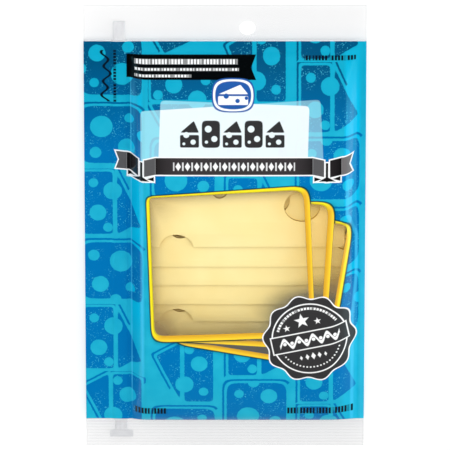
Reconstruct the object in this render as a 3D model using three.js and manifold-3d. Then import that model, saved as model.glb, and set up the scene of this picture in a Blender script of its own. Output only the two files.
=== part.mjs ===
// A flat plastic pouch of sliced cheese, lying on its back.
// Frame: millimetres, +X across the pouch, +Y towards the end with the hang hole, +Z up out of the
// printed front. The origin is under the middle of the pouch, on the surface that it lies on.
// The pouch is shut and sealed all round, so it is one closed solid: two films that are pressed
// together in a thin seal at the edges and stand apart over the stack of slices.
import * as THREE from 'three';
import { mergeVertices } from 'three/addons/utils/BufferGeometryUtils.js';
import Module from 'manifold-3d';

// Outline of the cut pouch, seen from above.
const WIDTH = 140;
const LENGTH = 234;

// The filled room inside the seals. It sits nearer the right edge, because the zip and the
// tear-off strip take up the left one.
const ROOM_LEFT = -47;
const ROOM_RIGHT = 65.5;
const ROOM_TOP = 93;
const ROOM_BOTTOM = -102.5;

// The sealed sheet: its thickness, its level at the two ends and how much higher it is half-way.
const SEAL_THICKNESS = 0.7;
const SEAL_LEVEL_ENDS = 3.0;
const SEAL_LEVEL_RISE = 3.0;
const SEAL_RISE_LENGTH = 45;

// The front film over the slices: its height above the seal and the form of that height along Y.
// A skew above 1 puts the highest place below the middle, and a power under 1 makes the ends steep.
const PUFF_HEIGHT = 11.4;
const PUFF_SKEW = 1.32;
const PUFF_POWER = 0.37;

// How much higher the film stands half-way between its left and right shoulders.
const CROWN_HEIGHT = 0.5;

// The front film's shoulders. The right one is steep over the full stack and slacker below it.
const SHOULDER_LEFT = 8;
const SHOULDER_RIGHT_STEEP = 7;
const SHOULDER_RIGHT_SLACK = 14;
const SLACK_START = 10;
const SLACK_END = -50;

// The back film drops from the seal to the flat spot that it lies on over this distance.
const BACK_SHOULDER = 6;

// The press-to-close zip between the films, which stands out a little on both faces.
const ZIP_CENTRE_X = -52.4;
const ZIP_WIDTH = 6.4;
const ZIP_RELIEF = 0.5;
const ZIP_EDGE = 1.2;
const ZIP_HALF_LENGTH = 108.7;

// The round hole in the top seal that a shop's peg goes through.
const HOLE_CENTRE = new THREE.Vector2(11.1, 105.3);
const HOLE_RADIUS_X = 4.05;
const HOLE_RADIUS_Y = 3.55;
const HOLE_SIDES = 28;

// How many steps the surface takes across and along, from edge to edge of each stretch.
const STEPS_X = [
  [-WIDTH / 2, ZIP_CENTRE_X - ZIP_WIDTH / 2 - ZIP_EDGE, 3],
  [ZIP_CENTRE_X - ZIP_WIDTH / 2 - ZIP_EDGE, ROOM_LEFT, 5],
  [ROOM_LEFT, ROOM_LEFT + SHOULDER_LEFT, 5],
  [ROOM_LEFT + SHOULDER_LEFT, ROOM_RIGHT - SHOULDER_RIGHT_SLACK, 8],
  [ROOM_RIGHT - SHOULDER_RIGHT_SLACK, ROOM_RIGHT, 7],
  [ROOM_RIGHT, WIDTH / 2, 2],
];
const STEPS_Y = [
  [-LENGTH / 2, -ZIP_HALF_LENGTH, 3],
  [-ZIP_HALF_LENGTH, ROOM_BOTTOM, 2],
  [ROOM_BOTTOM, ROOM_BOTTOM + 12, 6],
  [ROOM_BOTTOM + 12, ROOM_TOP - 18, 18],
  [ROOM_TOP - 18, ROOM_TOP, 8],
  [ROOM_TOP, ZIP_HALF_LENGTH, 4],
  [ZIP_HALF_LENGTH, LENGTH / 2, 3],
];

const smoothStep = (value, low, high) => THREE.MathUtils.smoothstep(value, low, high);

// Rises from 0 at an edge to 1 at the given distance from it, steep first and level at the end.
function shoulder(distance, width) {
  return Math.sin((Math.PI / 2) * THREE.MathUtils.clamp(distance / width, 0, 1));
}

// Level of the middle of the sealed sheet.
function sealLevel(y) {
  const fromEnds = LENGTH / 2 - Math.abs(y);
  return SEAL_LEVEL_ENDS + SEAL_LEVEL_RISE * smoothStep(fromEnds, 0, SEAL_RISE_LENGTH);
}

// How far the zip pushes each film out.
function zipRelief(x, y) {
  const across = ZIP_WIDTH / 2 + ZIP_EDGE - Math.abs(x - ZIP_CENTRE_X);
  const along = ZIP_HALF_LENGTH + ZIP_EDGE - Math.abs(y);
  return ZIP_RELIEF * smoothStep(across, 0, ZIP_EDGE) * smoothStep(along, 0, ZIP_EDGE);
}

// Height of the front film above the seal.
function puff(x, y) {
  const along = (ROOM_TOP - y) / (ROOM_TOP - ROOM_BOTTOM);
  const across = (x - ROOM_LEFT) / (ROOM_RIGHT - ROOM_LEFT);
  if (along <= 0 || along >= 1 || across <= 0 || across >= 1) {
    return 0;
  }
  const slack = smoothStep(SLACK_START - y, 0, SLACK_START - SLACK_END);
  const rightWidth = THREE.MathUtils.lerp(SHOULDER_RIGHT_STEEP, SHOULDER_RIGHT_SLACK, slack);
  const sides = shoulder(x - ROOM_LEFT, SHOULDER_LEFT) * shoulder(ROOM_RIGHT - x, rightWidth);
  const height = PUFF_HEIGHT + CROWN_HEIGHT * Math.sin(Math.PI * across);
  return height * Math.sin(Math.PI * along ** PUFF_SKEW) ** PUFF_POWER * sides;
}

function frontHeight(x, y) {
  return sealLevel(y) + SEAL_THICKNESS / 2 + zipRelief(x, y) + puff(x, y);
}

function backHeight(x, y) {
  const belly =
    shoulder(x - ROOM_LEFT, BACK_SHOULDER) *
    shoulder(ROOM_RIGHT - x, BACK_SHOULDER) *
    shoulder(y - ROOM_BOTTOM, BACK_SHOULDER) *
    shoulder(ROOM_TOP - y, BACK_SHOULDER);
  return (sealLevel(y) - SEAL_THICKNESS / 2 - zipRelief(x, y)) * (1 - belly);
}

// Turns stretches of [from, to, steps] into one rising list of coordinates.
function stations(stretches) {
  const list = [stretches[0][0]];
  for (const [from, to, steps] of stretches) {
    for (let step = 1; step <= steps; step += 1) {
      list.push(THREE.MathUtils.lerp(from, to, step / steps));
    }
  }
  return list;
}

// A closed body between a lower and an upper height field over the same rectangle.
function sheetBody(xs, ys, lower, upper) {
  const positions = [];
  const faces = [];
  const columns = xs.length;
  const layer = columns * ys.length;
  for (const height of [lower, upper]) {
    for (const y of ys) {
      for (const x of xs) {
        positions.push(x, y, height(x, y));
      }
    }
  }
  const quad = (a, b, c, d) => faces.push(a, b, c, a, c, d);
  for (let row = 0; row < ys.length - 1; row += 1) {
    for (let column = 0; column < columns - 1; column += 1) {
      const low = row * columns + column;
      quad(low, low + columns, low + columns + 1, low + 1);
      const high = low + layer;
      quad(high, high + 1, high + columns + 1, high + columns);
    }
  }
  // The cut edge runs once round the rectangle, anticlockwise from above.
  const edge = [];
  for (let column = 0; column < columns - 1; column += 1) {
    edge.push(column);
  }
  for (let row = 0; row < ys.length - 1; row += 1) {
    edge.push(row * columns + columns - 1);
  }
  for (let column = columns - 1; column > 0; column -= 1) {
    edge.push((ys.length - 1) * columns + column);
  }
  for (let row = ys.length - 1; row > 0; row -= 1) {
    edge.push(row * columns);
  }
  edge.forEach((start, index) => {
    const next = edge[(index + 1) % edge.length];
    quad(start, next, next + layer, start + layer);
  });
  const geometry = new THREE.BufferGeometry();
  geometry.setAttribute('position', new THREE.Float32BufferAttribute(positions, 3));
  geometry.setIndex(faces);
  return geometry;
}

// A straight punch that goes right through the top seal.
function holePunch() {
  const outline = new THREE.Shape();
  outline.absellipse(HOLE_CENTRE.x, HOLE_CENTRE.y, HOLE_RADIUS_X, HOLE_RADIUS_Y, 0, Math.PI * 2);
  const punch = new THREE.ExtrudeGeometry(outline, {
    depth: 2 * SEAL_LEVEL_ENDS + SEAL_LEVEL_RISE,
    bevelEnabled: false,
    curveSegments: HOLE_SIDES,
  });
  return punch;
}

const wasm = await Module();
wasm.setup();

function toManifold(geometry) {
  const bare = geometry.clone();
  bare.deleteAttribute('normal');
  bare.deleteAttribute('uv');
  const merged = mergeVertices(bare, 1e-4);
  const mesh = new wasm.Mesh({
    numProp: 3,
    vertProperties: new Float32Array(merged.attributes.position.array),
    triVerts: new Uint32Array(merged.index.array),
  });
  return new wasm.Manifold(mesh);
}

function fromManifold(solid) {
  const mesh = solid.getMesh();
  const geometry = new THREE.BufferGeometry();
  geometry.setAttribute('position', new THREE.BufferAttribute(mesh.vertProperties, 3));
  geometry.setIndex(new THREE.BufferAttribute(mesh.triVerts, 1));
  geometry.computeVertexNormals();
  return geometry;
}

function makePouch() {
  const body = toManifold(sheetBody(stations(STEPS_X), stations(STEPS_Y), backHeight, frontHeight));
  const punched = body.subtract(toManifold(holePunch()));
  const film = new THREE.MeshStandardMaterial({ color: 0x22b0d2, roughness: 0.3, metalness: 0 });
  const mesh = new THREE.Mesh(fromManifold(punched), film);
  mesh.name = 'pouch';
  return mesh;
}

const group = new THREE.Group();
group.add(makePouch());

export default group;
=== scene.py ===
import math

import bpy
import numpy as np
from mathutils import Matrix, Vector


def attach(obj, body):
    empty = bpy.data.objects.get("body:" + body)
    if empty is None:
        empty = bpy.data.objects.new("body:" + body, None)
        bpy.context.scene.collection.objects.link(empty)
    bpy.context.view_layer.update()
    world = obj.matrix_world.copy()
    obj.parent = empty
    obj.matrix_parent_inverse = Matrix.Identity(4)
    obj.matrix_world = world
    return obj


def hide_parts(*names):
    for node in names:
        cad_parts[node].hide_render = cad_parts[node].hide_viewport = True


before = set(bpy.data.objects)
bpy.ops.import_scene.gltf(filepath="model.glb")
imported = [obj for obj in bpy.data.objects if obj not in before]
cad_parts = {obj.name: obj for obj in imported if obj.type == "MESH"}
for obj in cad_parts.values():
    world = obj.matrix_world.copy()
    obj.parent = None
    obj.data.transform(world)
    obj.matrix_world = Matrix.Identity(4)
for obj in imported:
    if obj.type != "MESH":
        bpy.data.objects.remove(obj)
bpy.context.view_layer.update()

# The camera looks down on the lying pouch from a little beyond the end with the hang hole. A long
# lens from far off gives the nearly flat view of a product photograph.
CAMERA_TILT = math.radians(20)
CAMERA_DISTANCE = 3.38
CAMERA_AIM = Vector((0, 0.00035, 0))
CAMERA_LENS, CAMERA_SENSOR = 540.8, 36

towards_camera = Vector((0, math.sin(CAMERA_TILT), math.cos(CAMERA_TILT)))
bpy.ops.object.camera_add(
    location=CAMERA_AIM + CAMERA_DISTANCE * towards_camera, rotation=(-CAMERA_TILT, 0, 0)
)
camera = bpy.context.object
camera.data.lens = CAMERA_LENS
camera.data.sensor_width = CAMERA_SENSOR
bpy.context.scene.camera = camera

# Back film of the pouch: one sheet of thin plastic, printed blue but for its two clear ends. It is
# welded to the front film all round and lies flat under the slices. Its sizes, and those of the
# other pieces, are in millimetres until a finished mesh is brought to metres.
MILLIMETRE = 0.001
WIDTH = 140
LENGTH = 234
ROOM_LEFT, ROOM_RIGHT = -47, 65.5
ROOM_TOP, ROOM_BOTTOM = 93, -102.5
FILM_THICKNESS = 0.12
HALF_SEAL = 0.15
SEAL_LEVEL, SEAL_RISE, SEAL_RISE_LENGTH = 3, 3, 45
BACK_SHOULDER = 6
ZIP_X, ZIP_WIDTH, ZIP_EDGE, ZIP_RELIEF = -52.4, 6.4, 1.2, 0.5
ZIP_END = 108.7
FOOT_LEFT, FOOT_RIGHT, FOOT_END = -58.1, -46.2, -112.2
FOOT_EDGE, FOOT_RELIEF, FOOT_OVERLAP = 0.5, 0.16, 3
CRIMP_PITCH, CRIMP_DEPTH = 1.6, 0.05
PRINT_TOP, PRINT_BOTTOM = 98.6, -102.0
HANG_HOLE = (11.1, 105.3, 4.05, 3.55)  # its middle, and half its width and height
FILM_FOLD = math.radians(50)  # where a film bends more sharply than this, its shading breaks

# Where the columns and rows of a film's grid go: a share of the grid, and its place on the pouch.
# They lie closest in the ribbed bottom seal, and closer at the zip and the shoulders than between.
GRID_COLUMNS = (
    (0, -WIDTH / 2),
    (0.06, -58.6),
    (0.18, ROOM_LEFT),
    (0.28, ROOM_LEFT + 9),
    (0.80, ROOM_RIGHT - 15),
    (0.95, ROOM_RIGHT + 1),
    (1, WIDTH / 2),
)
GRID_ROWS = (
    (0, -LENGTH / 2),
    (0.22, PRINT_BOTTOM),
    (0.30, PRINT_BOTTOM + 14),
    (0.80, ROOM_TOP - 18),
    (0.90, ROOM_TOP + 1),
    (1, LENGTH / 2),
)


def eased(value, low, high):
    """Rises smoothly from 0 at low to 1 at high."""
    share = np.clip((value - low) / (high - low), 0, 1)
    return share * share * (3 - 2 * share)


def shoulder(distance, width):
    """Rises from 0 at an edge to 1 at a width inside it, steep first and level at the end."""
    return np.sin(math.pi / 2 * np.clip(distance / width, 0, 1))


def seal_level(y):
    """Level of the middle of the two welded films, lowest at the pouch's two ends."""
    return SEAL_LEVEL + SEAL_RISE * eased(LENGTH / 2 - np.abs(y), 0, SEAL_RISE_LENGTH)


def zip_relief(x, y):
    """How far the zip and its crushed foot push each film out."""
    across = eased(ZIP_WIDTH / 2 + ZIP_EDGE - np.abs(x - ZIP_X), 0, ZIP_EDGE)
    along = eased(ZIP_END + ZIP_EDGE - np.abs(y), 0, ZIP_EDGE)
    foot_across = eased(np.minimum(x - FOOT_LEFT, FOOT_RIGHT - x) + FOOT_EDGE, 0, FOOT_EDGE)
    foot_top = -ZIP_END + FOOT_OVERLAP
    foot_along = eased(np.minimum(y - FOOT_END, foot_top - y) + FOOT_EDGE, 0, FOOT_EDGE)
    return np.maximum(ZIP_RELIEF * across * along, FOOT_RELIEF * foot_across * foot_along)


def crimp(y):
    """Ribs that the welding jaws press into the bottom seal."""
    from_end = y + LENGTH / 2
    inside = eased(PRINT_BOTTOM - y, 0, 1.5) * eased(from_end, 0.8, 2.0)
    return CRIMP_DEPTH * inside * np.sin(2 * math.pi * from_end / CRIMP_PITCH)


def back_height(x, y):
    """Outer side of the back film."""
    belly = shoulder(x - ROOM_LEFT, BACK_SHOULDER) * shoulder(ROOM_RIGHT - x, BACK_SHOULDER)
    belly = belly * shoulder(y - ROOM_BOTTOM, BACK_SHOULDER) * shoulder(ROOM_TOP - y, BACK_SHOULDER)
    sealed = seal_level(y) - HALF_SEAL - zip_relief(x, y) + crimp(y)
    return sealed * (1 - belly)


def reshape(piece, moved):
    """Puts each point of a mesh where a function of x, y and z says, and brings it to metres."""
    points = np.zeros(len(piece.data.vertices) * 3)
    piece.data.vertices.foreach_get("co", points)
    points = np.column_stack(moved(*points.reshape(-1, 3).T))
    piece.data.vertices.foreach_set("co", (points * MILLIMETRE).ravel())
    piece.data.update()


def apply_to(piece, kind, name, **settings):
    """Adds one modifier to a piece and applies it. The piece is left selected and active."""
    bpy.ops.object.select_all(action="DESELECT")
    piece.select_set(True)
    bpy.context.view_layer.objects.active = piece
    modifier = piece.modifiers.new(name, kind)
    for label, setting in settings.items():
        setattr(modifier, label, setting)
    bpy.ops.object.modifier_apply(modifier=name)


def punch(piece, name, x, y, radius_x, radius_y, sides, depth):
    """Punches an oval hole through a piece."""
    bpy.ops.object.select_all(action="DESELECT")
    bpy.ops.mesh.primitive_cylinder_add(
        vertices=sides, radius=1, depth=1, location=(x, y, 0), scale=(radius_x, radius_y, depth)
    )
    cutter = bpy.context.object
    bpy.ops.object.transform_apply(location=True, rotation=True, scale=True)
    apply_to(piece, "BOOLEAN", name, operation="DIFFERENCE", object=cutter, solver="EXACT")
    bpy.data.objects.remove(cutter)


def lay_film(name, height, wall_side):
    """A flat grid, drawn out to the pouch's outline, shaped by a height, walled and punched."""
    bpy.ops.object.select_all(action="DESELECT")
    bpy.ops.mesh.primitive_grid_add(x_subdivisions=150, y_subdivisions=230, size=1)
    film = bpy.context.object
    film.name = film.data.name = name

    def laid(x, y, z):
        x = np.interp(x + 0.5, *zip(*GRID_COLUMNS))
        y = np.interp(y + 0.5, *zip(*GRID_ROWS))
        return x, y, height(x, y)

    reshape(film, laid)
    thickness = FILM_THICKNESS * MILLIMETRE
    apply_to(film, "SOLIDIFY", "Wall", thickness=thickness, offset=wall_side, use_even_offset=False)
    punch(film, "Hole", *(size * MILLIMETRE for size in HANG_HOLE), sides=56, depth=0.03)
    bpy.ops.object.shade_smooth_by_angle(angle=FILM_FOLD)
    return film


back_film = lay_film("back_film", back_height, 1)
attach(back_film, "root")
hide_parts("pouch")


def ink(red, green, blue):
    """A colour from its 0 to 255 screen values."""
    parts = [part / 255 for part in (red, green, blue)]
    linear = [p / 12.92 if p <= 0.04045 else ((p + 0.055) / 1.055) ** 2.4 for p in parts]
    return (*linear, 1)


def box(left, bottom, right, top):
    """The corners of an upright rectangle, anticlockwise."""
    return [(left, bottom), (right, bottom), (right, top), (left, top)]


class Field:
    """A number, place or colour that varies over a surface: one socket of a node tree."""

    def __init__(self, socket):
        self.socket = socket
        self.tree = socket.id_data

    def worked(self, kind, *terms, output=0, **settings):
        """Adds a node that works on these terms, and gives back one of the outputs it shows."""
        node = self.tree.nodes.new(kind)
        for name, setting in settings.items():
            setattr(node, name, setting)
        for term, socket in zip(terms, [socket for socket in node.inputs if socket.enabled]):
            if isinstance(term, Field):
                self.tree.links.new(term.socket, socket)
            elif term is not None:
                socket.default_value = term
        return Field([socket for socket in node.outputs if socket.enabled][output])

    def math(self, operation, *terms, clamp=False):
        return self.worked("ShaderNodeMath", self, *terms, operation=operation, use_clamp=clamp)

    def vector(self, operation, *terms):
        return self.worked("ShaderNodeVectorMath", self, *terms, operation=operation)

    def __add__(self, other):
        return self.math("ADD", other)

    def __sub__(self, other):
        return self.math("SUBTRACT", other)

    def __rsub__(self, other):
        return self.scaled(-1, other)

    def __mul__(self, other):
        return self.math("MULTIPLY", other)

    def __abs__(self):
        return self.math("ABSOLUTE")

    def scaled(self, factor, offset):
        """This number times a factor, plus an offset."""
        return self.math("MULTIPLY_ADD", factor, offset)

    def squared(self):
        return self.math("POWER", 2)

    def most(self, *others):
        """The largest of this and the others: where shapes overlap, their common part."""
        result = self
        for other in others:
            result = result.math("MAXIMUM", other)
        return result

    def least(self, *others):
        """The smallest of this and the others: shapes put together."""
        result = self
        for other in others:
            result = result.math("MINIMUM", other)
        return result

    def without(self, other):
        """This shape with another one cut out of it."""
        return self.most(other * -1)

    def towards(self, other, share):
        """This number where the share is 0, and the other one where it is 1."""
        return self + (other - self) * share

    def rounded(self, other, radius):
        """The common part of two shapes with the corner between them rounded off."""
        return self.math("SMOOTH_MAX", other, 1.757 * radius)

    def part(self, axis):
        return self.worked("ShaderNodeSeparateXYZ", self, output="XYZ".index(axis))

    def turned(self, angle):
        """This place turned about the origin."""
        return self.worked("ShaderNodeVectorRotate", self, None, angle, rotation_type="Z_AXIS")

    def from_point(self, x, y):
        """Distance of a place from a point."""
        return self.vector("DISTANCE", (x, y, -1))

    def from_eyes(self, *eyes):
        """Distance from the nearest of several round eyes, each given as x, y and radius."""
        distances = [self.from_point(x, y) - radius for x, y, radius in eyes]
        return distances[0].least(*distances[1:])

    def from_line(self, start, end):
        """Distance of a place from a straight line, above 0 on the right of its direction."""
        along = Vector(end) - Vector(start)
        across = Vector((along.y, -along.x)).normalized()
        return self.vector("DOT_PRODUCT", (across.x, across.y, across.dot(Vector(start))))

    def from_outline(self, corners, radii=None):
        """Distance from a straight-sided shape, below 0 inside. Its corners run anticlockwise and
        are sharp, or rounded by one radius, or by four where there are four of them."""
        sides = [self.from_line(a, b) for a, b in zip(corners, corners[1:] + corners[:1])]
        if radii is None:
            return sides[0].most(*sides[1:])
        if isinstance(radii, tuple):
            bends = [sides[i - 1].rounded(sides[i], radii[i]) for i in range(4)]
            return bends[0].most(*bends[1:])
        shape = sides[0]
        for side in sides[1:]:
            shape = shape.rounded(side, radii)
        return shape

    def covered(self, softness=0.3):
        """1 inside a shape, 0 outside it and a soft step between."""
        return self.math("MULTIPLY_ADD", -1 / softness, 0.5, clamp=True)

    def stripe(self, middle, half_width, softness=0.3):
        """1 on a stripe to both sides of one value, and 0 beyond it."""
        return (abs(self - middle) - half_width).covered(softness)

    def step(self, start, end):
        """Changes evenly from 0 at start to 1 at end."""
        return self.math("MULTIPLY_ADD", 1 / (end - start), -start / (end - start), clamp=True)

    def cell(self, pitch, start):
        """Place within one of a row of cells, measured from the cell's middle."""
        share = self.scaled(1 / pitch, -start / pitch).math("FRACT")
        return share.scaled(pitch, -pitch / 2)

    def between(self, low, high):
        """A colour part of the way from the low one to the high one."""
        return self.worked("ShaderNodeMix", self, low, high, data_type="RGBA")

    def under(self, top, mask):
        """This colour with another laid over it where the mask is 1."""
        return mask.between(self, top)

    def noise(self, scale, detail=2):
        """Cloudy number from 0 to 1 about this place."""
        return self.worked("ShaderNodeTexNoise", self, scale, detail)


def place_of(x, y):
    """A place from its two distances. Its third part is -1, which the line distances rely on."""
    return x.worked("ShaderNodeCombineXYZ", x, y, -1)


def start_group(name, *inputs):
    """Opens a node group and gives back its inputs as fields: a colour, or else a place."""
    tree = bpy.data.node_groups.new(name, "ShaderNodeTree")
    for label in inputs:
        kind = "NodeSocketColor" if label == "Color" else "NodeSocketVector"
        tree.interface.new_socket(label, in_out="INPUT", socket_type=kind)
    inlet = tree.nodes.new("NodeGroupInput")
    return [Field(inlet.outputs[label]) for label in inputs]


def end_group(**outputs):
    """Gives the group its outputs, a colour where the name says so and a number otherwise."""
    tree = next(iter(outputs.values())).tree
    for label in outputs:
        kind = "NodeSocketColor" if label == "Color" else "NodeSocketFloat"
        tree.interface.new_socket(label, in_out="OUTPUT", socket_type=kind)
    outlet = tree.nodes.new("NodeGroupOutput")
    for label, value in outputs.items():
        tree.links.new(value.socket, outlet.inputs[label])
    return tree


def placed(group, **inputs):
    """Puts a group into the node tree of its inputs, and gives back its outputs by name."""
    tree = next(iter(inputs.values())).tree
    node = tree.nodes.new("ShaderNodeGroup")
    node.node_tree = group
    for label, value in inputs.items():
        tree.links.new(value.socket, node.inputs[label])
    return {socket.name: Field(socket) for socket in node.outputs}


# The film's inks, and the shapes stamped on it. An eye is given by its middle and its radius.
BLUE = ink(2, 115, 181)
# painted shade of the blue towards the top end, where the film slopes down to the seal
SHADED_TOP_BLUE = ink(0, 80, 122)
CYAN = (ink(26, 169, 204), ink(36, 180, 210))
# painted shade of the cyan towards the top end
SHADED_TOP_CYAN = ink(2, 160, 194)
# painted light of the cyan on the slopes over the stack's long edges
LIT_SLOPE_CYAN = ink(4, 186, 228)
WORN_CYAN = ink(70, 196, 222)
WHITE = ink(252, 254, 255)
STAMP_PITCH = 36.0
STAMP_STAGGER = 0.43
STAMP_COLUMN, STAMP_ROW = 10.06, 10.1
STAMP_SOFTNESS = 0.35
LINE_GAP, LINE_HALF_WIDTH = 1.75, 0.5
SLAB = box(-15, -15, 15, 15)
SLAB_EYES = (
    (-5.2, 4.2, 5.6),
    (7.2, -6.2, 4.2),
    (8.6, 8.8, 2.4),
    (-8.2, -9.4, 2.9),
    (15.4, 1.5, 2.9),
)
WEDGE_FRONT = box(-16.5, -14.2, 16.5, 0.2)
WEDGE_TOP = [(-15.5, 2.4), (16.5, 2.4), (9.8, 14.4)]
WEDGE_EYES = ((-6.4, 0.2, 4.6), (5.2, -7.2, 4.2), (-10.6, -9.4, 2.4), (13.0, -2.2, 2.4))


def background_print_and_light():
    """Two blues: stamped slices and wedges with eyes, each turned its own way, in staggered rows.
    They are worn in places. Painted light brightens the ground on the slopes over the stack's long
    edges, and painted shade darkens both blues towards the top end."""
    (place,) = start_group("Background Print And Light", "Place")
    wobble = place.worked("ShaderNodeTexNoise", place, 0.8, 2, output=1)
    place = place.vector("ADD", wobble.vector("MULTIPLY_ADD", (0.5, 0.5, 0), (-0.25, -0.25, 0)))
    x = place.part("X")
    y = place.part("Y")
    column = x.scaled(1 / STAMP_PITCH, STAMP_COLUMN).math("FLOOR")
    lifted = column.math("MODULO", 2).scaled(STAMP_STAGGER * STAMP_PITCH, y)
    row = lifted.scaled(1 / STAMP_PITCH, STAMP_ROW).math("FLOOR")
    u = x.cell(STAMP_PITCH, -STAMP_COLUMN * STAMP_PITCH)
    v = lifted.cell(STAMP_PITCH, -STAMP_ROW * STAMP_PITCH)
    # One random number for each cell: how many quarter turns, and whether a slice or a wedge.
    lot = place_of(column, row)
    lot = lot.worked("ShaderNodeTexWhiteNoise", lot, noise_dimensions="2D")
    spot = place_of(u, v).turned((lot * 4).math("FLOOR") * (math.pi / 2))
    is_wedge = (lot * 37).math("FRACT").math("GREATER_THAN", 0.5)
    slab = spot.from_outline(SLAB, 4.5)
    wedge = spot.from_outline(WEDGE_FRONT, 1.6).least(spot.from_outline(WEDGE_TOP, 1.4))
    body = slab.towards(wedge, is_wedge)
    eyes = spot.from_eyes(*SLAB_EYES).towards(spot.from_eyes(*WEDGE_EYES), is_wedge)
    stamped = body.without(eyes).covered(STAMP_SOFTNESS)
    # A thin line follows each shape, on its upper left sides only.
    upper_left = (u - v) * 0.7 - 1.0
    line = (abs(body - LINE_GAP) - LINE_HALF_WIDTH).most(upper_left).covered(STAMP_SOFTNESS)
    worn = place.noise(1.3, 3).step(0.59, 0.65) * place.noise(0.09).step(0.44, 0.58)
    ground = place.noise(0.12).step(0.3, 0.7).between(*CYAN)
    # Painted shade: the ground darkens towards the top end, where the film slopes down to the seal.
    ground = ground.under(SHADED_TOP_CYAN, y.step(40, 84) * 0.7)
    # Painted light: the ground is brighter on the slopes over the stack's long edges, and less so
    # towards the bottom end.
    left_band = abs(x + 43.9) - 2.8
    right_band = (59.4 - x).most(x - 67)
    lit_slopes = left_band.least(right_band).covered(1.5) * y.step(96, 60).scaled(0.8, 0.2)
    ground = ground.under(LIT_SLOPE_CYAN, lit_slopes * y.step(-62, -42).scaled(0.65, 0.35))
    # The blue also darkens towards the top end as painted shade.
    color = ground.under(y.step(40, 88).between(BLUE, SHADED_TOP_BLUE), line.most(stamped))
    return end_group(Color=color.under(WORN_CYAN, worn * stamped * 0.6))


def film_grain():
    """Fine unevenness of blown film, as a height and as a change in how sharply it shines."""
    (place,) = start_group("Film Grain", "Place")
    slow = place.noise(0.05)
    return end_group(Height=place.noise(0.35, 3) * 0.3 + slow, Shine=slow.scaled(0.08, 0.10))


def clear_film():
    """How much the clear film hides, by its haze, its cut edges and the thin white border where it
    meets the print, with painted shade near the print and painted light and shade along the pressed
    ribs."""
    (place,) = start_group("Clear Film", "Place")
    x = place.part("X")
    y = place.part("Y")
    print_middle = (PRINT_TOP + PRINT_BOTTOM) / 2
    from_print = abs(y - print_middle) - (PRINT_TOP - PRINT_BOTTOM) / 2
    cut_edge = (abs(x) - WIDTH / 2).most(abs(y) - LENGTH / 2).step(-0.6, -0.2)
    foot_end = y.step(-100, -103)
    # Painted light and shade along the pressed ribs of the bottom seal.
    rib_light_and_shade = (y * (2 * math.pi / CRIMP_PITCH)).math("SINE") * foot_end * 0.006
    across = x.step(-80, -15).scaled(0.4, 0.6)
    # Near the print the haze thickens as painted shade.
    haze = from_print.step(6, 0) * 0.008 + foot_end * 0.021 + 0.035
    haze = haze * across + rib_light_and_shade + cut_edge * 0.02
    border = from_print.stripe(0.22, 0.2, 0.2)
    return end_group(Haze=haze.most(border * 0.75), Border=border)


HAZE_COLOR = ink(150, 151, 154)
INNER_WHITE = (ink(226, 232, 236), ink(236, 241, 244))
FILM_IOR = 1.48
FILM_BUMP = 0.0002
BUMP_STRENGTH = 0.5

background = background_print_and_light()
grain = film_grain()
clear = clear_film()


def start_material(name):
    """A new node material, and the place on the object in millimetres."""
    material = bpy.data.materials.new(name)
    material.use_nodes = True
    coordinates = Field(material.node_tree.nodes.new("ShaderNodeTexCoord").outputs["Object"])
    return material, coordinates.vector("MULTIPLY_ADD", (1000, 1000, 0), (0, 0, -1))


def finish_shader(material, **sockets):
    """Feeds or sets the named sockets of a material's shader."""
    shader = material.node_tree.nodes["Principled BSDF"]
    for label, value in sockets.items():
        socket = shader.inputs[label.replace("_", " ")]
        if isinstance(value, Field):
            value.tree.links.new(value.socket, socket)
        else:
            socket.default_value = value


def bumped(height, distance):
    """The surface's normal, moved by a height."""
    node = height.tree.nodes.new("ShaderNodeBump")
    node.inputs["Distance"].default_value = distance
    node.inputs["Strength"].default_value = BUMP_STRENGTH
    height.tree.links.new(height.socket, node.inputs["Height"])
    return Field(node.outputs["Normal"])


def film_ends(place):
    """Where a film is printed, and how much its clear ends hide and in which colour."""
    y = place.part("Y")
    printed = (y - PRINT_TOP).most(PRINT_BOTTOM - y).covered()
    ends = placed(clear, Place=place)
    return printed, ends["Haze"], ends["Border"].between(HAZE_COLOR, WHITE)


def finish_outer_side(material, place, color, alpha, **sockets):
    """The glossy outer side of a film."""
    fine = placed(grain, Place=place)
    finish_shader(
        material,
        Base_Color=color,
        Alpha=alpha,
        Roughness=fine["Shine"],
        Normal=bumped(fine["Height"], FILM_BUMP),
        IOR=FILM_IOR,
        **sockets,
    )


def finish_inner_side(material, place, ends_color, inked, alpha):
    """The inner side of a film: the plain white-blue back of its ink."""
    speckle = place.noise(0.3).step(0.3, 0.7).between(*INNER_WHITE)
    finish_shader(
        material,
        Base_Color=inked.between(ends_color, speckle),
        Alpha=alpha,
        Roughness=place.noise(0.05).scaled(0.1, 0.2),
        IOR=FILM_IOR,
    )


def dress_film(film, outer_side, outside, inside):
    """Gives a film its printed outer face and its plain inner one."""
    film.data.materials.clear()
    film.data.materials.append(outside)
    film.data.materials.append(inside)
    for face in film.data.polygons:
        face.material_index = int(face.normal.z * outer_side < 0)


back_outside, place = start_material("printed back film")
printed, haze, ends_color = film_ends(place)
color = printed.between(ends_color, placed(background, Place=place)["Color"])
finish_outer_side(back_outside, place, color, haze + printed * (1 - haze))

back_inside, place = start_material("inner side of the back film")
printed, haze, ends_color = film_ends(place)
finish_inner_side(back_inside, place, ends_color, printed, haze + printed * (1 - haze))
dress_film(back_film, -1, back_outside, back_inside)

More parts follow.
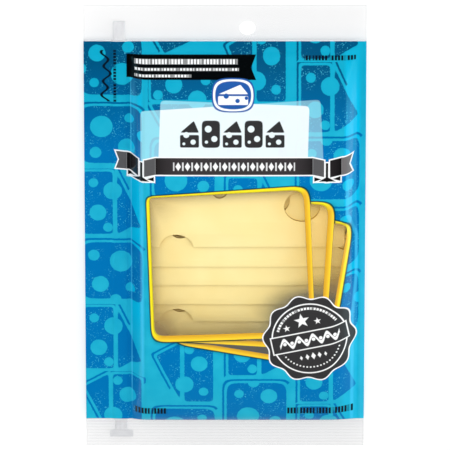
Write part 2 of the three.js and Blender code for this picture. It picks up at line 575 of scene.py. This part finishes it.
# Eight slices of cheese, cut nearly square from one block and laid on each other like fallen
# cards, so that each shows a strip below the one above it. The block's gas bubbles are the round
# eyes. At the top end each slice bends down over the ends of those beneath.
SLICE_LEFT, SLICE_RIGHT = -39.4, 59.6
SLICE_LENGTH = 96
SLICE_THICKNESS = 1.98
SLICE_PITCH = 2.0
SLICE_CORNER, SLICE_RIM = 2.5, 0.28
SLICE_EDGES = (-5.6, -16.6, -27.4, -38.4, -48.1, -58.0, -68.0, -78.0)  # lower ends, top slice first
STACK_MIDDLE = 10.0
STACK_GAP = 0.02
BEND_LENGTH = 12
CUT_SPACING = 3.0
SOLID_FOLD = math.radians(40)
CHEESE = (ink(252, 232, 160), ink(255, 239, 172))
# darker cheese for steep faces, partly its own tone and partly painted shade
WALL_TONE_AND_SHADE = ink(176, 146, 88)

# The eyes of each slice that has some: its middle, and half its width and height.
EYES = {
    0: ((38.3, 15.8, 8.9, 7.9), (-24.3, -5.9, 8.4, 6.8), (-2.7, 24.9, 4.2, 4.8)),
    1: ((24.0, 18.6, 8.2, 7.6), (-22.3, 3.6, 5.6, 5.2), (61.2, -4.4, 6.2, 3.5)),
    2: ((-22.3, 3.6, 5.4, 5.0),),
    3: ((-22.3, 3.6, 5.0, 4.8),),
    4: ((-24.3, -48.5, 8.4, 7.1), (18.0, -12.0, 7.0, 6.4)),
    5: ((-22.4, -38.4, 5.6, 5.4),),
    6: ((-22.4, -38.4, 5.4, 5.2),),
}


def slice_base(y, number):
    """Underside of a slice: the back film, and every slice that still lies between."""
    rise = back_height(np.full_like(y, STACK_MIDDLE), y) + FILM_THICKNESS + STACK_GAP
    for lower in range(number + 1, len(SLICE_EDGES)):
        top_end = SLICE_EDGES[lower] + SLICE_LENGTH
        rise = rise + SLICE_PITCH * (1 - eased(y, top_end, top_end + BEND_LENGTH))
    return rise


def select_edges(piece, wanted):
    """Opens a piece for editing with only those edges selected whose two ends pass a test."""
    bpy.ops.object.mode_set(mode="EDIT")
    bpy.ops.mesh.select_mode(type="EDGE")
    bpy.ops.mesh.select_all(action="DESELECT")
    bpy.ops.object.mode_set(mode="OBJECT")
    for edge in piece.data.edges:
        start, end = (piece.data.vertices[index].co for index in edge.vertices)
        edge.select = wanted(start, end)
    bpy.ops.object.mode_set(mode="EDIT")


def cut_slice(number):
    """One slice: a flat block with rounded corners, its eyes punched out, bent over those below."""
    low = SLICE_EDGES[number]
    bpy.ops.object.select_all(action="DESELECT")
    bpy.ops.mesh.primitive_cube_add(
        size=1,
        location=((SLICE_LEFT + SLICE_RIGHT) / 2, low + SLICE_LENGTH / 2, SLICE_THICKNESS / 2),
        scale=(SLICE_RIGHT - SLICE_LEFT, SLICE_LENGTH, SLICE_THICKNESS),
    )
    piece = bpy.context.object
    piece.name = piece.data.name = "slice_%d" % (number + 1)
    bpy.ops.object.transform_apply(location=True, rotation=True, scale=True)
    select_edges(piece, lambda start, end: abs(start.z - end.z) > SLICE_THICKNESS / 2)
    bpy.ops.mesh.bevel(offset=SLICE_CORNER, segments=5, affect="EDGES")
    bpy.ops.object.mode_set(mode="OBJECT")
    for eye in EYES.get(number, ()):
        punch(piece, "Eye", *eye, sides=48, depth=8)
    steep = math.radians(60)
    apply_to(
        piece, "BEVEL", "Rim", width=SLICE_RIM, segments=3, limit_method="ANGLE", angle_limit=steep
    )
    bpy.ops.object.mode_set(mode="EDIT")
    for cut in np.arange(low + 4, low + SLICE_LENGTH - 1, CUT_SPACING):
        bpy.ops.mesh.select_all(action="SELECT")
        bpy.ops.mesh.bisect(plane_co=(0, cut, 0), plane_no=(0, 1, 0))
    bpy.ops.object.mode_set(mode="OBJECT")
    reshape(piece, lambda x, y, z: (x, y, z + slice_base(y, number)))
    bpy.ops.object.shade_smooth_by_angle(angle=SOLID_FOLD)
    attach(piece, "root")
    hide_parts("pouch")
    return piece


slices = [cut_slice(number) for number in range(len(SLICE_EDGES))]

cheese, place = start_material("sliced cheese")
mottle = place.noise(0.05, 3).step(0.3, 0.7)
normal = Field(cheese.node_tree.nodes["Texture Coordinate"].outputs["Normal"])
# Steep faces, the walls of the eyes and the edges of the slices, are darker: partly their own
# glossier tone, partly painted shade.
steep_faces = abs(normal.part("Z")).step(0.75, 0.25)
finish_shader(
    cheese,
    Base_Color=mottle.between(*CHEESE).under(WALL_TONE_AND_SHADE, steep_faces),
    Roughness=mottle.scaled(0.12, 0.42),
    Normal=bumped(place.noise(0.12), 0.0003),
    IOR=1.4,
)
for piece in slices:
    piece.data.materials.clear()
    piece.data.materials.append(cheese)

# Press-to-close zip: a milky moulded strip between the films, with its two ridges standing in
# each other. The sealing jaws have crushed its bottom end into a wider flat foot.
ZIP_HALF_THICKNESS, FOOT_HALF_THICKNESS = 0.44, 0.12
ZIP_PLAY = 0.1
FOOT_TAPER = 0.6
RIDGE_DEPTH = 0.1
FIRST_DROP = 0.0001  # metres that the lower side starts below the upper one, before it mirrors it
MILKY = (ink(220, 221, 224), ink(228, 229, 231))


def moulded_half(across, along, level):
    """The upper side of the zip over a flat grid, ridged lengthways, with its foot at the end."""
    share = across * 2
    y = np.interp(along + 0.5, (0, 0.12, 1), (FOOT_END, -ZIP_END + 1, ZIP_END))
    foot = eased(-ZIP_END + FOOT_TAPER - y, 0, FOOT_TAPER)
    foot_growth = (FOOT_RIGHT - FOOT_LEFT) / 2 - ZIP_WIDTH / 2
    half_width = ZIP_WIDTH / 2 - ZIP_PLAY + foot * foot_growth
    middle = ZIP_X + foot * ((FOOT_LEFT + FOOT_RIGHT) / 2 - ZIP_X)
    ridges = 1 - RIDGE_DEPTH + RIDGE_DEPTH * np.cos(share * 3 * math.pi)
    round_edge = np.sqrt(np.clip(1 - share**6, 0.05, 1))
    half = ZIP_HALF_THICKNESS * (1 - foot) * ridges * round_edge + foot * FOOT_HALF_THICKNESS
    return middle + share * half_width, y, seal_level(y) + half


bpy.ops.object.select_all(action="DESELECT")
bpy.ops.mesh.primitive_grid_add(x_subdivisions=24, y_subdivisions=150, size=1)
zip_strip = bpy.context.object
zip_strip.name = zip_strip.data.name = "zip_strip"
reshape(zip_strip, moulded_half)
bpy.ops.object.mode_set(mode="EDIT")
bpy.ops.mesh.select_all(action="SELECT")
bpy.ops.mesh.extrude_region_move(TRANSFORM_OT_translate={"value": (0, 0, -FIRST_DROP)})
bpy.ops.object.mode_set(mode="OBJECT")
for vertex in zip_strip.data.vertices:
    if vertex.select:
        level = float(seal_level(vertex.co.y / MILLIMETRE)) * MILLIMETRE
        vertex.co.z = 2 * level - (vertex.co.z + FIRST_DROP)
bpy.ops.object.mode_set(mode="EDIT")
bpy.ops.mesh.select_all(action="SELECT")
bpy.ops.mesh.normals_make_consistent(inside=False)
bpy.ops.object.mode_set(mode="OBJECT")
bpy.ops.object.shade_smooth_by_angle(angle=SOLID_FOLD)
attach(zip_strip, "root")
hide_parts("pouch")

milky_plastic, place = start_material("milky zip plastic")
cloud = place.noise(0.4).step(0.3, 0.7)
finish_shader(milky_plastic, Base_Color=cloud.between(*MILKY), Roughness=cloud.scaled(0.1, 0.5))
zip_strip.data.materials.append(milky_plastic)

# Front film of the pouch: the same thin plastic, drawn tight over the slices and welded to the
# back film all round. It is printed all over but for the two ends and the window of three fanned
# cards that shows the cheese.
FRONT_RISE, FRONT_CROWN = 11.4, 0.5
FRONT_SHOULDER, FRONT_SLACK = (8, 7), 7
BEAD_HEIGHT, BEAD_HALF_WIDTH = 0.16, 0.55


def weld_bead(x, y):
    """The fine bead that the welding bars leave round the filled room."""
    across = np.minimum(x - ROOM_LEFT, ROOM_RIGHT - x)
    along = np.minimum(y - ROOM_BOTTOM, ROOM_TOP - y)
    return BEAD_HEIGHT * np.exp(-((np.minimum(across, along) / BEAD_HALF_WIDTH) ** 2))


def front_height(x, y):
    """Outer side of the front film: it falls off more slowly at the lower right."""
    along = np.clip((ROOM_TOP - y) / (ROOM_TOP - ROOM_BOTTOM), 0, 1)
    across = np.clip((x - ROOM_LEFT) / (ROOM_RIGHT - ROOM_LEFT), 0, 1)
    left_width, right_width = FRONT_SHOULDER
    slack = eased(-y, -10, 50)
    sides = shoulder(x - ROOM_LEFT, left_width)
    sides = sides * shoulder(ROOM_RIGHT - x, right_width + FRONT_SLACK * slack)
    height = FRONT_RISE + FRONT_CROWN * np.sin(math.pi * across)
    puff = height * np.sin(math.pi * along**1.32).clip(0, 1) ** 0.37 * sides
    return seal_level(y) + HALF_SEAL + zip_relief(x, y) + crimp(y) + weld_bead(x, y) + puff


front_film = lay_film("front_film", front_height, -1)
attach(front_film, "root")
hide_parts("pouch")

# The three cards of the window, the front one first. Their outlines and the radii of their
# corners run anticlockwise from the lower left.
YELLOW = ink(250, 232, 40)
ORANGE = ink(224, 170, 48)
GOLD = ink(254, 213, 56)
CARD_SHADOW, SHADOW_REACH = ink(3, 60, 90), 2.6
CARD_EDGE, EDGE_WIDTH = ink(12, 62, 44), 0.62
INNER_LINE = ink(96, 84, 30)
# painted shade for the empty gap beside the slices
GAP_SHADE_BROWN = ink(40, 34, 24)
# Colours of the painted shade and painted warm light laid thinly over the panes.
GREY_SHADE, WARM_LIGHT = ink(92, 92, 92), ink(230, 171, 0)
CARD_OUTER = (
    [(-36.6, -56.1), (45.3, -52.9), (41.8, 27.1), (-39.2, 21.2)],
    [(-33.3, -54.8), (50.2, -60.5), (54.8, 18.6), (-36.9, 18.6)],
    [(-26.1, -56.6), (52.0, -70.9), (64.4, 8.1), (-13.2, 14.6)],
)
CARD_INNER = (
    [(-35.2, -52.6), (42.7, -49.7), (39.0, 24.9), (-37.5, 20.6)],
    [(-30.4, -51.3), (47.4, -57.8), (51.6, 17.3), (-33.9, 18.9)],
    [(-22.7, -54.5), (49.6, -67.5), (61.5, 6.9), (-10.7, 12.1)],
)
OUTER_RADII = ((6, 6, 7, 3), (6, 6, 7, 3), (6, 6, 9, 3))
INNER_RADII = ((4, 4, 5, 1.5), (4, 4, 5, 1.5), (4, 4, 4.5, 1.5))

# Where a pane is shaded: between or at which of its corners, how far in and how strongly.
SHADED_EDGES = ((3, 0, 8, 0.3), (2, 3, 7, 0.32), (0, 1, 15, 0.2))
SHADED_CORNERS = ((0, 26, 0.78), (3, 22, 0.26))
BADGE_X, BADGE_Y, BADGE_TURN = 42.4, -54.0, math.radians(11.7)


def pane_shade(place, number):
    """The grey shade of one pane, along its edges, in two corners and at its low end."""
    corners = CARD_INNER[number]
    y = place.part("Y")
    shades = []
    for start, end, reach, strength in SHADED_EDGES:
        edge = place.from_line(corners[start], corners[end])
        shades.append(edge.step(-reach, 0).squared() * strength)
    for corner, reach, strength in SHADED_CORNERS:
        shades.append(place.from_point(*corners[corner]).step(reach, 2).squared() * strength)
    if number == 0:
        shades.append(y.step(-41, -46) * 0.22)
    if number == 1:
        shades.append(y.step(-19, -28) * 0.42)
    shade = shades[0].most(*shades[1:])
    if number == 2:
        shade = shade + y.step(30, -48) * 0.3 + y.step(-17, -26) * 0.36
    return shade


def pane_glow(place, number):
    """The painted warm light of one pane, at its right, left, top and low end."""
    corners = CARD_INNER[number]
    y = place.part("Y")
    right = place.from_line(corners[1], corners[2]).step(-34, 0).squared() * 0.2
    left = place.from_line(corners[3], corners[0]).step(-24, 0) * 0.1
    low = y.step(-22, -40) * 0.08 if number == 0 else y.step(-34, -10) * 0.1
    return right + left + y.step(8, 24) * 0.09 + low


def cheese_window():
    """Three fanned cards outlined in yellow, drawn from the back one to the front one. Their panes
    are open film with a thin layer of painted grey shade and painted warm light, whose strength the
    shade gives."""
    place, color = start_group("Cheese Window", "Place", "Color")
    y = place.part("Y")
    for number in (2, 1, 0):
        corners = CARD_OUTER[number]
        panes = CARD_INNER[number]
        outer = place.from_outline(corners, OUTER_RADII[number])
        inner = place.from_outline(panes, INNER_RADII[number])
        rim = outer.covered()
        pane = inner.covered()
        # A rim is bright yellow at the left and the top, and gold at the right and the bottom.
        low_side = place.from_line(corners[0], corners[2]).step(-2, 2)
        near = outer.step(SHADOW_REACH, 0)
        color = color.under(CARD_SHADOW, near * near * low_side.scaled(0.5, 0.12))
        color = color.under(CARD_EDGE, (outer - EDGE_WIDTH).covered(0.4) * 0.92)
        gold = inner.step(2.6, 0.6).between(GOLD, ORANGE)
        if number == 2:
            gold = gold.under(YELLOW, outer.step(-1.9, -0.9) * y.step(-62, -30))
        color = color.under(low_side.between(YELLOW, gold), rim)
        inner_line = inner.stripe(0.25, 0.15, 0.35) * (1 - low_side)
        color = color.under(INNER_LINE, inner_line * rim * 0.6)
        dark = pane_shade(place, number)
        glow = pane_glow(place, number)
        if number == 2:
            # High on the back card's right, a thin opaque brown line is painted shade for the dark,
            # empty gap beside the slices.
            gap = place.from_line(panes[1], panes[2]).stripe(-0.55, 0.45) * pane * y.step(-1, 2)
            color = color.under(GAP_SHADE_BROWN, gap)
            solid = (rim * (1 - pane)).most(gap)
            whole = rim
            shade = dark
            warm_light = glow
        else:
            solid = solid.most(rim) * (1 - pane * rim)
            whole = whole.most(rim)
            shade = shade.towards(dark, rim)
            warm_light = warm_light.towards(glow, rim)
    # Painted shadow of the badge on the slices near it, where the painted warm light fades too.
    near_badge = place.from_point(BADGE_X, BADGE_Y).step(35, 24).squared()
    shade = shade.most(near_badge * y.step(-46, -32).scaled(0.42, 0.12))
    warm_light = warm_light * (1 - near_badge)
    strength = shade + warm_light
    opening = whole * (1 - solid)
    shade_and_light_color = warm_light.math("DIVIDE", strength + 0.001).between(GREY_SHADE, WARM_LIGHT)
    return end_group(Color=color.under(shade_and_light_color, opening), Opening=opening, Shade=strength)


# Colour of the painted highlights on the shoulders.
HIGHLIGHT_CYAN = ink(75, 208, 255)
LEFT_CREASE_X, LEFT_FOLD_X, LEFT_RIDGE_X = -46.7, -45.4, -41.2
RIGHT_BAND_START, RIGHT_BAND_END, RIGHT_EDGE_X = 60, 65.3, 67.6


def painted_shoulder_light():
    """Painted highlights where the film turns over the two long edges of the stack: thin crease
    lines, a ridge stripe and, on the right, a broad lit band. On the right the painted band moves
    out where the back cards of the window reach it."""
    place, color = start_group("Painted Shoulder Light", "Place", "Color")
    x = place.part("X")
    y = place.part("Y")
    middle = (abs(y + 4) - 92).step(0, -16)
    left_crease = x.stripe(LEFT_CREASE_X, 0.28, 0.4) * 0.5
    left_ridge = x.stripe(LEFT_RIDGE_X, 0.5, 1.4) * y.step(44, 4) * y.step(-92, -66) * 0.6
    left_fold = x.stripe(LEFT_FOLD_X, 0.8, 1.2) * y.step(24, 50) * 0.16
    lowered = y.step(12, -2)
    start = lowered * 4.8 - y.step(-24, -44) * 1.8 + RIGHT_BAND_START
    right_band = (start - x).most(x - lowered - RIGHT_BAND_END).covered(0.7)
    right_band = right_band * y.step(90, 62) * 0.24 * y.step(-62, -42).scaled(0.5, 0.5)
    right_ridge = (x - start).stripe(0.8, 0.8, 0.8) * y.step(48, 20) * 0.34
    right_edge = (RIGHT_EDGE_X - x).covered(1.6) * y.step(16, -10) * 0.24
    # Painted highlights, laid over the ground in a pale cyan.
    pale = left_crease.most(left_ridge, left_fold) * middle
    pale = pale + right_band + right_ridge.most(right_edge)
    return end_group(Color=color.under(HIGHLIGHT_CYAN, pale))


BAR_PITCH, BAR_HALF_WIDTH = 1.6, 0.58


def bar_row(along, across, start, end, middle, half_height, seed):
    """A row of small upright bars in groups: how far a place is from them, below 0 inside."""
    bar = abs(along.cell(BAR_PITCH, seed)) - BAR_HALF_WIDTH
    gap = ((along * 0.74 + seed).math("SINE") + 0.93) * -1
    row = (abs(across - middle) - half_height).most(start - along, along - end)
    return row.most(bar, gap)


def flag_banner():
    """A black pennant with a notched end and three rows of white bars."""
    place, color = start_group("Flag Banner", "Place", "Color")
    x = place.part("X")
    y = place.part("Y")
    notch = x - 12.9 - abs(y - 86.45) * 0.42
    flag = (-48.8 - x).most(y - 92.3, 80.5 - y, notch)
    color = color.under(ink(4, 5, 6), flag.covered())
    for end, middle, half_height, seed in (
        (6.2, 89.1, 1.15, 0.4),
        (6.8, 85.5, 0.62, 3.1),
        (-16.8, 82.4, 0.62, 5.2),
    ):
        bars = bar_row(x, y, -44.8, end, middle, half_height, seed)
        color = color.under(ink(238, 240, 240), bars.covered())
    return end_group(Color=color)


RISING_CARD = [(-41.9, 38.0), (48.9, 38.0), (47.2, 70.8), (-41.9, 64.9)]
FALLING_CARD = [(-33.1, 38.0), (41.0, 38.0), (41.8, 67.6), (-31.9, 70.4)]
ICON_PITCH, ICONS_START, ICONS_END, ICONS_Y = 10.6, -22.9, 30.0, 53.4


def title_cards():
    """Two crossing translucent white cards, with a row of dark wedges and slices on them."""
    place, color = start_group("Title Cards", "Place", "Color")
    rising = place.from_outline(RISING_CARD, 2.0).covered()
    falling = place.from_outline(FALLING_CARD, 2.0).covered()
    x = place.part("X")
    y = place.part("Y")
    veil = x.step(44, -40).scaled(0.18, 0.37)
    color = color.under(ink(185, 246, 255), rising.most(falling) * veil)
    color = color.under(ink(244, 250, 252), rising.least(falling) * 0.84)
    spot = place_of(x.cell(ICON_PITCH, ICONS_START), y - ICONS_Y)
    slab = spot.from_outline(box(-4.5, -6.9, 4.5, 6.9), 2.0)
    slab = slab.without(spot.from_eyes((-1.3, 2.6, 1.7), (1.7, -2.4, 1.5), (-2.2, -4.0, 0.8)))
    wedge = spot.from_outline(box(-4.7, -6.8, 4.7, -0.4), 0.7)
    wedge = wedge.least(spot.from_outline([(-4.6, 0.8), (4.7, 0.8), (2.2, 6.8)], 0.6))
    wedge = wedge.without(spot.from_eyes((-1.6, -0.4, 1.5), (1.8, -4.0, 1.3), (-2.8, -4.9, 0.7)))
    pairs = x.scaled(0.5 / ICON_PITCH, -ICONS_START * 0.5 / ICON_PITCH)
    odd = pairs.math("FRACT").math("GREATER_THAN", 0.5)
    icons = wedge.towards(slab, odd).most(ICONS_START - x, x - ICONS_END)
    return end_group(Color=color.under(ink(51, 50, 51), icons.covered()))


def emblem():
    """A blue tile with a white border and a white wedge of cheese on it."""
    place, color = start_group("Emblem", "Place", "Color")
    tile = place.from_outline(box(-6.8, 64.4, 14.8, 81.5), 6.5)
    color = color.under(ink(36, 88, 165), tile.covered())
    color = color.under(WHITE, tile.stripe(-1.1, 0.45))
    wedge = place.from_outline(box(-3.4, 68.2, 11.4, 72.6), 0.6)
    wedge = wedge.least(place.from_outline([(-3.2, 73.6), (11.4, 73.6), (7.6, 78.2)], 0.5))
    wedge = wedge.without(place.from_eyes((0.6, 72.6, 1.3), (6.2, 70.2, 1.1), (10.6, 71.6, 0.9)))
    return end_group(Color=color.under(WHITE, wedge.covered()))


RIBBON_MIDDLE = 4.5
LOZENGE_PITCH = 4.62


def ribbon():
    """A folded dark ribbon with swallow tails, edged in white, with a row of lozenges along it."""
    place, color = start_group("Ribbon", "Place", "Color")
    x = place.part("X")
    y = place.part("Y")
    # Only the right half is drawn: the left one is its mirror image about the ribbon's middle.
    out = abs(x - RIBBON_MIDDLE)
    half = place_of(out, y)
    band = (out - 39.1).most(y - 41.2, 32.6 - y)
    fold = half.from_outline([(39.1, 32.6), (44.7, 31.4), (44.7, 39.9), (39.1, 41.2)])
    strip = half.from_outline(box(45.5, 28.9, 46.7, 38.6))
    base = half.from_outline([(41.9, 29.1), (50.6, 29.1), (46.8, 31.2), (45.5, 31.2)])
    inner_corner = half.from_outline([(39.8, 29.1), (43.4, 30.3), (39.8, 31.4)])
    outer_corner = half.from_outline([(52.8, 29.5), (52.8, 32.0), (49.0, 30.4)])
    turn = half.from_outline([(47.6, 31.2), (53.4, 32.6), (53.4, 41.4), (47.6, 39.9)])
    tail_bottom = half.from_line((53.4, 32.6), (59.0, 33.1))
    tail_top = half.from_line((59.0, 42.1), (53.4, 41.4))
    tail = (out - 57.2 - abs(y - 37.6) * 0.36).most(53.4 - out, tail_bottom, tail_top)
    black = strip.least(base, inner_corner, outer_corner)
    everything = black.least(band, fold, turn, tail)
    color = color.under(ink(250, 252, 253), (everything - 0.62).covered())
    color = color.under(ink(22, 20, 21), black.covered())
    band_color = out.step(26, 39).squared().between(ink(58, 54, 56), ink(34, 31, 32))
    color = color.under(band_color, band.covered())
    # The folds and tails are grey; the right tail is lighter as painted light, where it lies on the
    # lit right slope.
    grey = x.step(48, 58).between(ink(88, 88, 90), ink(108, 105, 106))
    color = color.under(grey, fold.least(tail).covered())
    turn_color = out.step(47.6, 53.4).between(ink(40, 36, 37), ink(20, 18, 19))
    color = color.under(turn_color, turn.covered())
    across = abs(x.cell(LOZENGE_PITCH, RIBBON_MIDDLE - LOZENGE_PITCH / 2))
    up = abs(y - 36.8)
    lozenge = place_of(across, up).from_line((1.35, 0), (0, 2.2))
    bar = (across - LOZENGE_PITCH / 2).most(1.95 - across, up - 2.1)
    row = lozenge.least(bar).most(out - 30.2)
    return end_group(Color=color.under(ink(245, 246, 247), row.covered()))


def star(place, x, y, tip):
    """A five-pointed star, one tip up: how far a place is from it."""
    # The place is folded into one of the ten like wedges between a tip and a valley.
    from_middle = place.vector("SUBTRACT", (x, y, -1))
    point_angle = math.pi / 5
    turn = from_middle.part("X").math("ARCTAN2", from_middle.part("Y"))
    turn = turn.math("PINGPONG", point_angle)
    reach = place.from_point(x, y)
    folded = place_of(turn.math("SINE") * reach, turn.math("COSINE") * reach)
    valley = 0.42 * tip
    valley_x = valley * math.sin(point_angle)
    valley_y = valley * math.cos(point_angle)
    return folded.from_line((valley_x, valley_y), (0, tip))


BADGE_DARK, BADGE_EDGE, BADGE_MARK = ink(54, 53, 54), ink(250, 250, 250), ink(248, 248, 248)
BADGE_RADIUS, BADGE_WAVES, BADGE_WAVE_DEPTH = 22.75, 10, 1.1


def seal_badge():
    """A round dark seal with a waved edge, a ring, a slanted band, stars and dots."""
    place, color = start_group("Seal Badge", "Place", "Color")
    reach = place.from_point(BADGE_X, BADGE_Y)
    local = place.vector("SUBTRACT", (BADGE_X, BADGE_Y, 0)).turned(-BADGE_TURN)
    along = local.part("X")
    up = local.part("Y")
    angle = up.math("ARCTAN2", along)
    waves = (angle * BADGE_WAVES + math.radians(130)).math("COSINE")
    disc = reach - waves.scaled(BADGE_WAVE_DEPTH, BADGE_RADIUS)
    color = color.under(BADGE_EDGE, disc.covered())
    color = color.under(BADGE_DARK, (disc + 0.65).covered())
    # The ring and its stars, ticks above the band, dots below it and a row of five lozenges.
    marks = abs(reach - 18.8) - 0.33
    for x, y, tip in ((-2.0, 10.3, 3.9), (-10.2, 7.7, 1.8), (5.7, 8.7, 1.8)):
        marks = marks.least(star(local, x, y, tip))
    ticks = bar_row(angle * 16.4, reach, 7.2, 44.4, 16.4, 0.62, 1.7)
    dots = place_of((angle * 15.6).cell(1.75, 0), reach - 15.6)
    dots = (dots.from_point(0, 0) - 0.42).most(up + 6.5)
    marks = marks.least(ticks.most(4.6 - up), dots)
    for number in range(-2, 3):
        size = 1.9 - 0.35 * abs(number)
        lozenge = place_of(abs(along - 3.1 * number), abs(up + 9.6))
        marks = marks.least(lozenge.from_line((0.62 * size, 0), (0, size)))
    color = color.under(BADGE_MARK, marks.covered())
    # The slanted band, and the leafy wavy line on it.
    slat = (abs(along) - 19.6).most(abs(up + 0.6) - 4.9)
    color = color.under(BADGE_MARK, slat.covered())
    color = color.under(BADGE_DARK, (slat + 0.62).covered())
    vine = abs(up + 0.6 - (along * 0.86).math("SINE") * 2.2) * 0.66 - 0.62
    leaves = place_of(along.cell(3.653, 0.0), up + 0.6).from_point(0, 0) - 0.9
    vine = vine.least(leaves).most(abs(along) - 15.4)
    return end_group(Color=color.under(BADGE_MARK, vine.covered()), Cover=disc.covered())


def small_marks():
    """Rows of small dark bars near three corners, and a row and a curl that run up by the zip."""
    place, color = start_group("Small Marks", "Place", "Color")
    x = place.part("X")
    y = place.part("Y")
    curl = x + 59.0 - (y * 0.86).math("SINE") * 1.5 - (y * 0.31 + 1).math("SINE") * 0.8
    marks = bar_row(x, y, -45.9, -29.2, -95.6, 1.8, 0.9).least(
        bar_row(x, y, 31.2, 64.6, -95.2, 1.9, 2.3),
        bar_row(x, y, 39.1, 64.8, 90.8, 1.1, 4.4),
        bar_row(y, x, 67.6, 94.4, -54.6, 0.7, 3.6),
        (abs(curl) * 0.7 - 0.5).most(67.8 - y, y - 94.2),
    )
    return end_group(Color=color.under(ink(8, 22, 34), marks.covered()))


# The printed front mirrors less than bare film does, and bluish. Even clear film hides a little.
FILM_SHEEN, SHEEN_COLOR = 0.3, (0.3, 0.85, 1.0, 1)
LEAST_TINT = 0.01
window = cheese_window()
badge_print = seal_badge()

front_outside, place = start_material("printed front film")
color = placed(background, Place=place)["Color"]
# Layers over the ground: painted highlights on the shoulders first, then the printed marks, banner,
# cards, emblem and ribbon.
for make_print_and_highlight in (painted_shoulder_light, small_marks, flag_banner, title_cards, emblem, ribbon):
    color = placed(make_print_and_highlight(), Place=place, Color=color)["Color"]
panes = placed(window, Place=place, Color=color)
badge = placed(badge_print, Place=place, Color=panes["Color"])
opening = panes["Opening"] * (1 - badge["Cover"])
printed, haze, ends_color = film_ends(place)
# The open panes hide as much as their painted shade and warm light, and a little more for the film
# itself.
film_haze_and_painted_light = opening * (panes["Shade"] + LEAST_TINT)
finish_outer_side(
    front_outside,
    place,
    printed.between(ends_color, badge["Color"]),
    printed * (1 - opening + film_haze_and_painted_light) + haze * (1 - printed),
    Specular_IOR_Level=FILM_SHEEN,
    Specular_Tint=SHEEN_COLOR,
)

front_inside, place = start_material("inner side of the front film")
opening = placed(window, Place=place)["Opening"]
opening = opening * (1 - placed(badge_print, Place=place)["Cover"])
printed, haze, ends_color = film_ends(place)
inked = printed * (1 - opening)
alpha = printed * (1 - opening * (1 - LEAST_TINT)) + haze * (1 - printed)
finish_inner_side(front_inside, place, ends_color, inked, alpha)
dress_film(front_film, 1, front_outside, front_inside)

# Studio: a pale floor that glows a little by itself, and five large soft lights that the film
# doesn't mirror. It mirrors only a narrow strip at each side, and a sky that is bright at the
# horizon and dark overhead.
FLOOR_SIZE, FLOOR_LEVEL = 8, -0.00002
FLOOR_GREY, FLOOR_GLOW = (0.5, 0.5, 0.5, 1), 0.55
SKY_TOP, SKY_HORIZON = (0.05, 0.05, 0.05, 1), (0.6, 0.6, 0.6, 1)

bpy.ops.object.select_all(action="DESELECT")
bpy.ops.mesh.primitive_plane_add(size=FLOOR_SIZE, location=(0, 0, FLOOR_LEVEL))
floor = bpy.context.object
floor.name = "floor"
floor_paint = bpy.data.materials.new("floor paint")
floor_paint.use_nodes = True
finish_shader(
    floor_paint,
    Base_Color=FLOOR_GREY,
    Roughness=0.9,
    Emission_Color=(1, 1, 1, 1),
    Emission_Strength=FLOOR_GLOW,
)
floor.data.materials.append(floor_paint)


def soft_light(name, place, width, length, watts, mirrored=False):
    """A flat rectangular light that faces the pouch."""
    bpy.ops.object.light_add(type="AREA", location=place)
    light = bpy.context.object
    light.name = name
    light.data.shape = "RECTANGLE"
    light.data.size = width
    light.data.size_y = length
    light.data.energy = watts
    light.visible_glossy = mirrored
    light.rotation_euler = (-Vector(place)).to_track_quat("-Z", "Y").to_euler()


soft_light("overhead", (0.0, 0.6, 2.4), 2.0, 1.6, 28)
soft_light("key", (0.0, 1.6, 1.7), 1.6, 0.8, 15.5)
soft_light("left", (-1.8, 0.0, 1.1), 0.8, 2.4, 10.5)
soft_light("right", (1.8, 0.0, 1.1), 0.8, 2.4, 20)
soft_light("front", (0.0, -1.9, 1.5), 2.0, 0.8, 7)
soft_light("left strip", (-1.9, 0.1, 1.0), 0.16, 2.6, 2.5, mirrored=True)
soft_light("right strip", (1.9, 0.1, 1.0), 0.16, 2.6, 3.0, mirrored=True)

world = bpy.data.worlds.new("studio")
bpy.context.scene.world = world
world.use_nodes = True
sky = world.node_tree
direction = Field(sky.nodes.new("ShaderNodeTexCoord").outputs["Generated"])
sky_color = direction.part("Z").step(0.7, 0.0).between(SKY_TOP, SKY_HORIZON)
sky.links.new(sky_color.socket, sky.nodes["Background"].inputs["Color"])
bpy.context.scene.view_settings.view_transform = "Standard"

bpy.context.view_layer.update()
